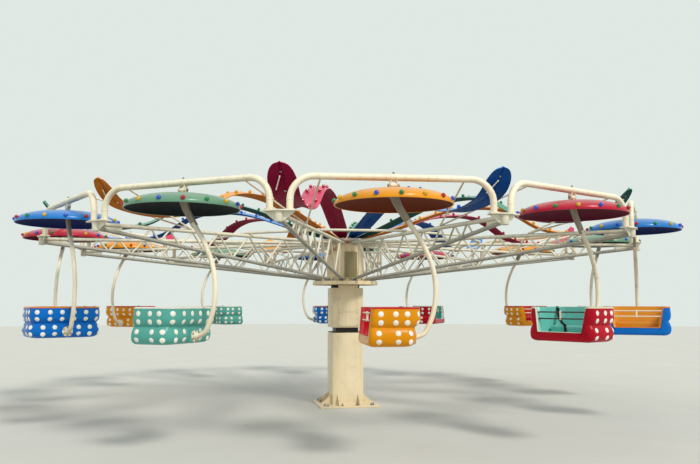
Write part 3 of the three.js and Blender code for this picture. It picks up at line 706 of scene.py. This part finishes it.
flat_bar(bm, line[:PLATE_END], halves, material=2)
eye = turned_body([(0.0175, -0.043), (0.03, -0.043), (0.034, -0.039), (0.034, 0.039), (0.03, 0.043),
                   (0.0175, 0.043), (0.0175, -0.043)], 24)
added(bm, eye, upto((0, 0, PIVOT_Z), (0, 1, 0)))
eye.free()
box(bm, (0, 0, 3.394), (0.06, 0.044, 0.07), ease=0.003)
disc(bm, (0, PAD_FACE + 0.0003, PAD_Z), (0, 1, 0), 0.076, 0.014, 32)
for i in range(6):
    spot = around(0.064, 60 * i + 30, 0)
    bolt(bm, (spot.x, PAD_FACE + 0.0143, PAD_Z + spot.y), (0, 1, 0), 0.009)
repeated("hanger_tube", bm, [cream, bolt_steel, hanger_plate_shade], "gondola_{:02d}", "hanger",
         bay_turns, reach=GANTRY_RADIUS)
bm.free()


# Canopies: a thin round shell of moulded glass fibre, glossy on top and beneath in a darker, rougher copy of
# its colour that is painted shade, with a deep rolled edge that carries sixteen coloured balls. The hanger's
# plate is clamped through its middle.
def gel_coat_group():
    """Coloured gel coat outdoors: a cloudy fade, a paler top that is settled dust and a painted reflection of
    the sky, fine scratches.
    """
    tree, given, out = group(
        "gel coat",
        {"Colour": linear(0.8, 0.1, 0.1), "Dust and Sheen": linear(0.78, 0.75, 0.68), "Dust Amount": 0.3, "Gloss": 0.2})
    place = put(tree, "TexCoord").outputs["Object"]
    normal = put(tree, "SeparateXYZ", {0: put(tree, "NewGeometry").outputs["Normal"]}).outputs["Z"]
    cloud = noise(tree, place, 2.3, 5)
    fine = noise(tree, place, 45, 4)
    scratch = noise(tree, place, 9, 3, stretch=(1, 14, 3))
    darker = blended(tree, 0.35, given["Colour"], linear(0.05, 0.03, 0.02))
    worn = blended(tree, band(tree, cloud, 0.3, 0.7, 0.45, 0), given["Colour"], darker)
    # Up-facing surfaces grow paler: settled dust and a painted reflection of the sky.
    dust_and_sky_sheen_on_top = times(tree, band(tree, normal, 0.1, 0.95), band(tree, cloud, 0.25, 0.7, 0.35, 1))
    marks = band(tree, scratch, 0.64, 0.72, 0, 0.2)
    dust_and_sheen = times(tree, plus(tree, times(tree, dust_and_sky_sheen_on_top, band(tree, fine, 0.3, 0.6, 0.6, 1)), marks),
                 given["Dust Amount"])
    tree.links.new(blended(tree, dust_and_sheen, worn, given["Dust and Sheen"]), out["Color"])
    tree.links.new(plus(tree, given["Gloss"], plus(tree, times(tree, dust_and_sheen, 0.5), times(tree, marks, 0.4))),
                   out["Roughness"])
    tree.links.new(plus(tree, times(tree, cloud, 0.6), times(tree, fine, 0.15)), out["Height"])
    return tree


gel_coat = gel_coat_group()


def gel(name, colour, dust_and_sheen=0.2, gloss=0.25, coat=0.2, shine=0.4):
    values = {"Colour": linear(*colour), "Dust Amount": dust_and_sheen, "Gloss": gloss}
    return finished(name, gel_coat, values, bump=0.2, coat=coat, grain=0.003, shine=shine)


def gels(name, names, colours, *look):
    """A like gel coat in each of some named colours."""
    return {c: gel(f"{name}_{c}", colour, *look) for c, colour in zip(names, colours)}


COLOURS = ("yellow", "red", "blue", "green")
BALL_ORDER = ("green", "yellow", "blue", "red")
top_gels = gels("canopy_gel", COLOURS, [(0.93, 0.6, 0.03), (0.74, 0.03, 0.2), (0.05, 0.48, 0.82),
                                        (0.4, 0.58, 0.48)], 0.12, 0.25, 0.1, 0.3)
canopy_shade_gels = gels("canopy_painted_shade", COLOURS, [(0.4, 0.15, 0.02), (0.34, 0, 0.13), (0.02, 0.1, 0.34),
                                            (0.03, 0.09, 0.1)], 0.1, 0.6, 0, 0.15)
ball_gels = gels("ball_gel", BALL_ORDER, [(0.08, 0.52, 0.26), (0.85, 0.68, 0.05), (0.12, 0.32, 0.78),
                                          (0.7, 0.03, 0.14)], 0.1, 0.15)
# turn of the first ball, and the order of the sixteen balls by their first letters
canopy_balls = {"yellow": (-3.2, "gyrbgyrbgyrbgygb"), "red": (-3.4, "grybgrybgrbybgyb"),
                "blue": (5, "rgybrgybrgybrgyb"), "green": (13.8, "brgybrgybrgybrgy")}


def ball(bm, centre, radius, material, squash=1.0, heading=(0, 0, 1), rings=6, sides=10):
    """A small moulded ball or dome."""
    place = upto(centre, heading) @ Matrix.Diagonal((1, 1, squash, 1))
    made = bmesh.ops.create_uvsphere(bm, u_segments=sides, v_segments=rings, radius=radius, matrix=place)
    dyed(made["verts"], material)


OUTSIDE = [(0, 3.385), (0.2, 3.382), (0.38, 3.37), (0.54, 3.342), (0.66, 3.302), (0.73, 3.262),
           (0.755, 3.228), (0.76, 3.2)]
EDGE = [(0.76, 3.196), (0.757, 3.1905), (0.7515, 3.1902), (0.747, 3.194)]
INSIDE = [(0.742, 3.2), (0.73, 3.222), (0.704, 3.246), (0.64, 3.282), (0.53, 3.321), (0.375, 3.351),
          (0.2, 3.362), (0, 3.365)]


def smooth_section(points):
    return [(p.x, p.y) for p in smooth_route([(x, y, 0) for x, y in points], 3)]


section = [*smooth_section(OUTSIDE), *EDGE, *smooth_section(INSIDE)]
section = [(max(radius, 0), height) for radius, height in section]
dome = turned_body(section, 56)
# Faces under the shell take the darker copy of the colour, as painted shade.
for face in dome.faces:
    middle = face.calc_center_median()
    if face.normal.z < -0.05 and middle.xy.length < 0.748:
        face.material_index = 1
for colour_index, colour in enumerate(COLOURS):
    bm = bmesh.new()
    added(bm, dome)
    first, order = canopy_balls[colour]
    for i, letter in enumerate(order):
        kind = next(k for k, name in enumerate(BALL_ORDER) if name.startswith(letter))
        ball(bm, around(0.756, first + 22.5 * i, 3.25), 0.03, 2 + kind)
    box(bm, (0, 0.008, 3.348), (0.14, 0.2, 0.016), ease=0.003, material=6)
    for x in (-0.05, 0.05):
        for y in (-0.07, 0.085):
            bolt(bm, (x, y, 3.34), (0, 0, -1), 0.008, material=6)
    coats = [top_gels[colour], canopy_shade_gels[colour], *ball_gels.values(), hanger_plate_shade]
    repeated("canopy", bm, coats, "gondola_{:02d}", "hanger", bay_turns, colour_index,
             len(COLOURS), GANTRY_RADIUS)
    bm.free()
dome.free()

# Tubs: a double skin of moulded glass fibre with two rolls round its sides and back, the lower one
# set in behind, and a flat front that riders step over. The lining laps over the rim, and rows of
# white domes are stuck to the rolls.
tub_gels = gels("tub_gel", COLOURS, [(0.88, 0.56, 0), (0.7, 0, 0.13), (0, 0.42, 0.78),
                                     (0.34, 0.66, 0.62)], 0.04, 0.25, 0.05, 0.12)
lining_gels = gels("lining_gel", COLOURS, [(0.78, 0.03, 0.12), (0.44, 0.8, 0.76), (0.92, 0.6, 0.08),
                                           (0.9, 0.89, 0.84)], 0.2, 0.3, 0.1)
trim_gels = gels("rim_gel", COLOURS, [(0.78, 0.05, 0.12), (0.88, 0.84, 0.74), (0.92, 0.5, 0.1),
                                      (0.92, 0.91, 0.87)], 0.15, 0.25, 0.2)
dome_white = gel("dome_white", (0.95, 0.94, 0.9), 0.05, 0.2, 0.3)
TUB_HALF = (0.522, 0.3065)
TUB_MIDDLE = -0.0485
BACK_CORNER = 0.2
FRONT_CORNER = 0.07
FRONT_LEAN = 0.1
LOWER_SET_IN = 0.05
SET_IN_TOP = 1.72
SET_IN_RISE = 0.09
RIM_Z = 1.91
PANEL_FOOT = 1.47
ENTRY_DROP = 0.34
# distance from the middle of the front, share of the drop
ENTRY_STEPS = [(0.18, 1), (0.342, 1), (0.355, 0.99), (0.363, 0.95), (0.413, 0.05), (0.422, 0.01), (0.432, 0)]
# inset of the sides and back, inset of the front, height, material of the strip that ends there
TUB_RINGS = [
    (0.12, 0.09, 1.4405, 0), (0.066, 0.031, 1.448, 0), (0.028, 0.007, 1.47, 0), (0.009, 0, 1.502, 0),
    (0.0, 0, 1.55, 0), (0.004, 0, 1.595, 0), (0.018, 0, 1.636, 0), (0.034, 0, 1.66, 0), (0.04, 0, 1.67, 0),
    (0.034, 0, 1.68, 0), (0.016, 0, 1.703, 0), (0.003, 0, 1.74, 0), (0.0, 0, 1.785, 0), (0.002, 0, 1.83, 0),
    (0.007, 0, 1.882, 0), (0.009, 0, 1.89, 0)]
LIP_RINGS = [
    (0.004, -0.005, 1.892, 1), (0.004, -0.005, 1.904, 1), (0.01, 0.001, 1.91, 1), (0.02, 0.011, 1.914, 1),
    (0.044, 0.035, 1.914, 2), (0.053, 0.044, 1.908, 2), (0.057, 0.048, 1.89, 2), (0.066, 0.056, 1.7, 2),
    (0.084, 0.07, 1.515, 2), (0.098, 0.084, 1.49, 2), (0.116, 0.102, 1.485, 2)]


def between(table, place):
    """The value at a place in a table of places and values, on straight lines between its rows."""
    for (start, first), (end, last) in zip(table, table[1:]):
        if place <= end:
            return first + (last - first) * max(place - start, 0) / (end - start)
    return table[-1][1]


def shape_ring(verts, lay, side_inset, front_inset, height):
    """Puts one ring of the shell in its place: in from the outline, up, leant and cut down in front."""
    for vert in verts:
        at = vert[lay]
        front = at.y < FRONT_CORNER - TUB_HALF[1] + 0.001
        x = at.x * (TUB_HALF[0] - side_inset) / TUB_HALF[0]
        if front:
            share = min((FRONT_CORNER - TUB_HALF[1] - at.y) / FRONT_CORNER, 1)
            y = TUB_MIDDLE + at.y + front_inset * share
        else:
            y = TUB_MIDDLE + at.y * (TUB_HALF[1] - side_inset) / TUB_HALF[1]
        z = height
        if at.y < 0.001 - TUB_HALF[1]:
            share = min(max((height - PANEL_FOOT) / (RIM_Z - PANEL_FOOT), 0), 1)
            z -= between(ENTRY_STEPS, abs(at.x)) * ENTRY_DROP * share
        if front:
            y -= FRONT_LEAN * (RIM_Z - z)
        else:
            round_back = max(at.y - TUB_HALF[1] + BACK_CORNER, 0) / BACK_CORNER
            y -= LOWER_SET_IN * round_back * min(max((SET_IN_TOP - z) / SET_IN_RISE, 0), 1)
        vert.co = (x, y, z)


def tub_shell():
    """The closed double skin: an outline pulled up ring by ring, from its underside to its floor."""
    bm = bmesh.new()
    lay = bm.verts.layers.float_vector.new("outline")
    verts = bmesh.ops.create_grid(bm, x_segments=1, y_segments=1, size=1)["verts"]
    bmesh.ops.scale(bm, vec=(*TUB_HALF, 1), verts=verts)
    for radius, side, steps in ((BACK_CORNER, 1, 9), (FRONT_CORNER, -1, 5)):
        corners = [v for v in bm.verts if v.co.y * side > TUB_HALF[1] - 0.001]
        bmesh.ops.bevel(bm, geom=corners, offset=radius, segments=steps, profile=0.5, affect="VERTICES",
                        material=-1)
    for x, _ in reversed(ENTRY_STEPS):
        for side in (-1, 1):
            bmesh.ops.bisect_plane(bm, geom=[*bm.verts, *bm.edges, *bm.faces], plane_co=(side * x, 0, 0),
                                   plane_no=(1, 0, 0))
    edges = [e for e in bm.edges if e.is_boundary]
    for vert in bm.verts:
        vert[lay] = vert.co
    rings = [*TUB_RINGS, *LIP_RINGS]
    shape_ring(bm.verts, lay, *rings[0][:3])
    for side_inset, front_inset, height, material in rings[1:]:
        verts, edges, walls = pulled(bm, edges)
        shape_ring(verts, lay, side_inset, front_inset, height)
        for face in walls:
            face.material_index = material
    for face in bmesh.ops.edgeloop_fill(bm, edges=edges)["faces"]:
        face.material_index = 2
    bmesh.ops.recalc_face_normals(bm, faces=bm.faces)
    return bm


ROLL_FRONT = -0.255
ROLL_SIDE = TUB_MIDDLE + TUB_HALF[1] - BACK_CORNER - ROLL_FRONT
ROLL_LENGTH = 2 * ROLL_SIDE + BACK_CORNER * math.pi + 2 * (TUB_HALF[0] - BACK_CORNER)


def round_the_rolls(length):
    """Place and outward direction on the plan at a length from one front corner round the back."""
    half, back, radius = TUB_HALF[0], TUB_MIDDLE + TUB_HALF[1], BACK_CORNER
    arc = radius * math.pi / 2
    flip = length > ROLL_LENGTH / 2
    run = ROLL_LENGTH - length if flip else length
    if run < ROLL_SIDE:
        x, y, nx, ny = half, ROLL_FRONT + run, 1, 0
    elif run < ROLL_SIDE + arc:
        turn = (run - ROLL_SIDE) / radius
        nx, ny = math.cos(turn), math.sin(turn)
        x, y = half - radius + radius * nx, back - radius + radius * ny
    else:
        x, y, nx, ny = half - radius - (run - ROLL_SIDE - arc), back, 0, 1
    return (-x, y, -nx, ny) if flip else (x, y, nx, ny)


shell = tub_shell()
surface = BVHTree.FromBMesh(shell)
domes = []
# distances round the rolls from the middle of the back, the same on both sides
for steps, heights in (((0.088, 0.262, 0.45, 0.63, 0.77, 0.948), (1.831, 1.726)),
                       ((0.175, 0.35, 0.58, 0.74, 0.97), (1.606, 1.502))):
    for height in heights:
        for step in (*steps, *[-s for s in steps]):
            x, y, nx, ny = round_the_rolls(ROLL_LENGTH / 2 + step)
            start = Vector((x + nx * 0.1, y + ny * 0.1, height))
            spot, facing, _, _ = surface.ray_cast(start, Vector((-nx, -ny, 0)))
            at_flange = abs(x) < 0.11 and y > 0 and height < 1.65
            if spot and not at_flange:
                domes.append((spot, facing))
for spot, facing in domes:
    ball(shell, spot - facing * 0.002, 0.036, 3, squash=0.32, heading=facing, rings=4, sides=12)
box(shell, (0, PAD_FACE - 0.055, PAD_Z), (0.158, 0.11, 0.15), ease=0.02, segments=4)
for i, turn in enumerate(bay_turns):
    colour = COLOURS[i % len(COLOURS)]
    coats = [tub_gels[colour], trim_gels[colour], lining_gels[colour], dome_white]
    piece(f"tub_shell_{i + 1:02d}", shell, coats, f"gondola_{i + 1:02d}",
          f"tub_{i + 1:02d}", turn, GANTRY_RADIUS)
shell.free()

# Bench, lap bar and belt: the bench is moulded with the lining, the two rails of the lap bar span
# the entry between end plates, and a webbing belt hangs from the back corner of the rim.
def webbing_group():
    """Woven belt webbing: a fine rib across the strap, dusty where it is rubbed."""
    tree, given, out = group("webbing", {"Weave": linear(0.06, 0.06, 0.065), "Worn": linear(0.2, 0.19, 0.18)})
    place = put(tree, "TexCoord").outputs["Object"]
    inputs = {"Vector": place, "Scale": 90, "Distortion": 0.6}
    rib = put(tree, "TexWave", inputs, bands_direction="Z").outputs["Fac"]
    rubbed = band(tree, noise(tree, place, 14, 4), 0.5, 0.75)
    tree.links.new(blended(tree, rubbed, given["Weave"], given["Worn"]), out["Color"])
    tree.links.new(band(tree, rib, 0, 1, 0.7, 0.9), out["Roughness"])
    tree.links.new(rib, out["Height"])
    return tree


webbing = finished("black_webbing", webbing_group(), {}, bump=0.4, grain=0.001, shine=0.2)
rail_dark_painted_reflection = painted("rail_dark_painted_reflection", (0.16, 0.1, 0.1), grime_and_shade_amount=0.3)
RAILS = ((1.84, -0.338), (1.75, -0.345))
RAIL_HALF = 0.41
fittings = bmesh.new()
box(fittings, (0, 0.055, 1.5675), (0.83, 0.19, 0.165), ease=0.03, segments=4)
for height, across in RAILS:
    tube(fittings, [(-RAIL_HALF, across, height), (RAIL_HALF, across, height)], [0.01, 0.01], 12, material=1)
for side in (-1, 1):
    box(fittings, (side * RAIL_HALF, -0.342, 1.795), (0.012, 0.035, 0.15), ease=0.003, material=2)
    disc(fittings, (side * (RAIL_HALF - 0.005), -0.342, 1.882), (side, 0, 0), 0.012, 0.05, 12, material=2)
    for height, across in RAILS:
        bolt(fittings, (side * (RAIL_HALF - 0.006), across, height), (-side, 0, 0), 0.012, material=3)
box(fittings, (0, -0.3415, 1.795), (0.026, 0.026, 0.125), ease=0.004, material=2)


def strap(bm, route, side, half_width, half_thick, material):
    """A flat webbing strap along a route, its width along the side direction."""
    rings = []
    for point, heading in zip(route, headings(route)):
        across = (side - heading * side.dot(heading)).normalized() * half_width
        out = heading.cross(across).normalized() * half_thick
        corners = ((across, out), (across, -out), (-across, -out), (-across, out))
        rings.append([point + a + b for a, b in corners])
    lofted(bm, rings, material)


# from the back corner of the rim down to the bench's front, or flung out over the end of the tub
BELT_IN = [(-0.455, 0.19, 1.9165), (-0.43, 0.165, 1.9165), (-0.415, 0.15, 1.895), (-0.36, 0.1, 1.78),
           (-0.26, 0.03, 1.69), (-0.18, -0.02, 1.66), (-0.15, -0.043, 1.64), (-0.14, -0.052, 1.6),
           (-0.138, -0.054, 1.56)]
BELT_OUT = [(-0.42, -0.1, 1.7), (-0.452, -0.1, 1.86), (-0.462, -0.1, 1.9), (-0.478, -0.1, 1.9175),
            (-0.505, -0.1, 1.9175), (-0.524, -0.1, 1.905), (-0.527, -0.1, 1.83), (-0.528, -0.1, 1.75),
            (-0.529, -0.1, 1.65), (-0.53, -0.1, 1.56)]
for colour_index, colour in enumerate(COLOURS):
    bm = bmesh.new()
    added(bm, fittings)
    route, side, buckle = BELT_IN, (0.64, 0.77, 0), (0.056, 0.012, 0.05)
    if colour == "blue":
        route, side, buckle = BELT_OUT, (0, 1, 0), (0.012, 0.056, 0.05)
    strap(bm, smooth_route(route, 4), Vector(side), 0.0225, 0.0015, 4)
    box(bm, Vector(route[-1]) - Vector((0, 0, 0.02)), buckle, ease=0.003, material=3)
    # The red tub's lap bar is dark as a painted reflection; the others are cream.
    rail = rail_dark_painted_reflection if colour == "red" else cream
    repeated("bench", bm, [lining_gels[colour], rail, cream, bolt_steel, webbing],
             "gondola_{:02d}", "tub", bay_turns, colour_index, len(COLOURS), GANTRY_RADIUS)
    bm.free()
fittings.free()

# Petals: twelve long ridged leaves of glass fibre over the arms, bolted to collars round the spigot.
# The underside is a darker copy of the petal's colour as painted shade, the balls match the petal, and a
# white rod is set in the tip's channel.
PETAL_LINE = [(0.25, 3.262), (0.9, 3.425), (1.95, 3.77), (2.7, 3.848), (3.25, 3.75), (3.83, 3.42),
              (4.46, 3.308), (5.08, 3.352), (5.326, 3.44), (5.471, 3.571), (5.54, 3.653),
              (5.575, 3.695), (5.6, 3.725)]
PETAL_WIDTHS = [(0.24, 0.052), (0.62, 0.15), (0.95, 0.166), (1.95, 0.176), (3.2, 0.176), (3.8, 0.162),
                (4.48, 0.146), (5.08, 0.18), (5.25, 0.193), (5.38, 0.198), (5.45, 0.192),
                (5.49, 0.179), (5.525, 0.16), (5.555, 0.134), (5.577, 0.105), (5.591, 0.075),
                (5.598, 0.045), (5.6, 0.025)]
CHANNEL_START = 4.9
CHANNEL_RAMP = 0.3
# share of the half width, height over the middle line, height of the tip's channel in its place
TOP_SIDE = [(-1, -0.024, -0.014), (-0.55, -0.002, 0), (-0.2, 0.014, 0.006), (-0.1, 0.02, 0.022),
            (0, 0.022, 0.026), (0.1, 0.02, 0.022), (0.2, 0.014, 0.006), (0.55, -0.002, 0),
            (1, -0.024, -0.014)]
UNDER_SIDE = [(0.98, -0.034, -0.026), (0.55, -0.012, -0.012), (0.17, 0.002, -0.006), (0.07, 0.008, 0.012),
              (-0.07, 0.008, 0.012), (-0.17, 0.002, -0.006), (-0.55, -0.012, -0.012), (-0.98, -0.034, -0.026)]


def petal_place(line, reach, across, lift):
    """A point on the petal at a reach, with a share of its half width and a height over its line."""
    i = max(1, min(range(len(line)), key=lambda k: abs(line[k].x - reach)))
    i = min(i, len(line) - 2)
    along = (line[i + 1] - line[i - 1]).normalized()
    out = Vector((-along.z, 0, along.x))
    point = line[i] + along * (reach - line[i].x) / along.x
    return point + out * lift + Vector((0, across * between(PETAL_WIDTHS, reach), 0)), out


PETAL_COLOURS = ("crimson", "blue", "green", "orange")
leaf_gels = gels("petal_gel", PETAL_COLOURS, [(0.84, 0.2, 0.4), (0.14, 0.54, 0.9), (0.25, 0.58, 0.48),
                                              (0.95, 0.62, 0.14)], 0.1, 0.25, 0.1, 0.3)
shade_gels = gels("petal_painted_shade", PETAL_COLOURS, [(0.5, 0, 0.19), (0, 0.26, 0.54), (0.02, 0.26, 0.24),
                                                 (0.7, 0.39, 0.02)], 0.03, 0.5, 0, 0.1)
bead_gels = gels("petal_ball", PETAL_COLOURS, [(0.72, 0.04, 0.2), (0.1, 0.35, 0.8), (0.05, 0.5, 0.3),
                                               (0.9, 0.66, 0.06)], 0.1, 0.15, 0.3)
line = smooth_route([(x, 0, z) for x, z in PETAL_LINE], 6)
rings = []
for point, along in zip(line, headings(line)):
    out = Vector((-along.z, 0, along.x))
    width = between(PETAL_WIDTHS, point.x)
    share = min(max((point.x - CHANNEL_START) / CHANNEL_RAMP, 0), 1)
    rings.append([point + Vector((0, y * width, 0)) + out * (z + (tip - z) * share)
                  for y, z, tip in [*TOP_SIDE, *UNDER_SIDE]])
leaf = bmesh.new()
lofted(leaf, rings)
bmesh.ops.recalc_face_normals(leaf, faces=leaf.faces)
# Faces on the underside take the darker copy of the colour, as painted shade.
for face in leaf.faces:
    centre = face.calc_center_median()
    _, out = petal_place(line, centre.x, 0, 0)
    if face.normal.dot(out) < -0.1:
        face.material_index = 1
for side in (-1, 1):
    for k in range(12):
        spot, out = petal_place(line, 1.2 + 0.31 * k, side * 0.6, 0.018)
        ball(leaf, spot, 0.03, 2, rings=5, sides=8)
high, _ = petal_place(line, 5.475, -0.1, -0.03)
low, _ = petal_place(line, 5.335, -0.5, -0.036)
tube(leaf, [low, high], [0.008, 0.008], 10, material=3)
for end in (low, high):
    ball(leaf, end, 0.012, 3, rings=6, sides=10)
for reach in (5.26, 5.51):
    spot, out = petal_place(line, reach, 0, -0.006 if reach > 5.4 else 0.002)
    disc(leaf, spot, -out, 0.015, 0.006, 14, material=3 if reach < 5.4 else 4)
    disc(leaf, spot - out * 0.006, -out, 0.01, 0.008, 6, top=0.008, material=4)
COLLAR_BORE = 0.093
COLLAR_RADIUS = 0.235
COLLAR_THICK = 0.008
for level, name in enumerate(PETAL_COLOURS):
    coats = [leaf_gels[name], shade_gels[name], bead_gels[name], dome_white, bolt_steel]
    low = 3.2353 + level * 0.0083
    high = low + COLLAR_THICK
    whole = turned_body([(COLLAR_BORE, low), (COLLAR_RADIUS, low), (COLLAR_RADIUS, high), (COLLAR_BORE, high),
                         (COLLAR_BORE, low)], 40)
    for i in range(3):
        turn = Matrix.Rotation(arm_turns[level + 4 * i], 4, "Z")
        added(whole, leaf, turn)
        tongue = box(whole, (0.24, 0, low + COLLAR_THICK / 2), (0.1, 0.07, COLLAR_THICK))
        bmesh.ops.transform(whole, matrix=turn, verts=tongue)
    piece(f"petal_leaves_{name}", whole, coats, "rotor", f"petals_{name}")
    whole.free()
leaf.free()
